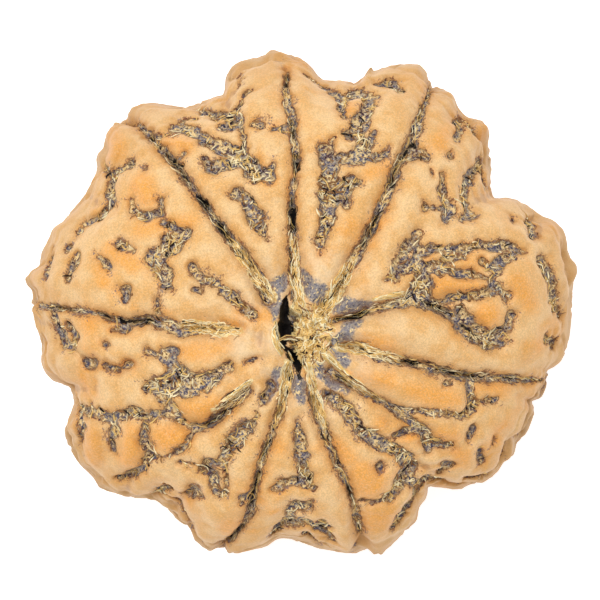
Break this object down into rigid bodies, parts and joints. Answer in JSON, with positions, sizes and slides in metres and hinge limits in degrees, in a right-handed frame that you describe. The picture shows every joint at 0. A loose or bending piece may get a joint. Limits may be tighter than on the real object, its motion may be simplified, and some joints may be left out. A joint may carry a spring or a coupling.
{
  "type": "rudraksha bead",
  "caption": "Flattened round seed-stone bead with deep seams from end to end and knobbly lobes between them, seen from its stem end and resting on a small flat spot.",
  "frame": {"origin": "middle of the bead's outline in plan, on the plane that its flat spot rests on", "axes": "+Z from the flat spot to the stem end, +X along the bead's longest width, to the right in the picture, +Y to the picture's top"},
  "size_m": [0.0276, 0.0252, 0.0203],
  "materials": {
    "bead": "dry waxy seed stone, tan to orange-brown on the lobes, with slate-brown fibrous hollows"
  },
  "bodies": {
    "root": {"bead": "bead"}
  },
  "joints": []
}
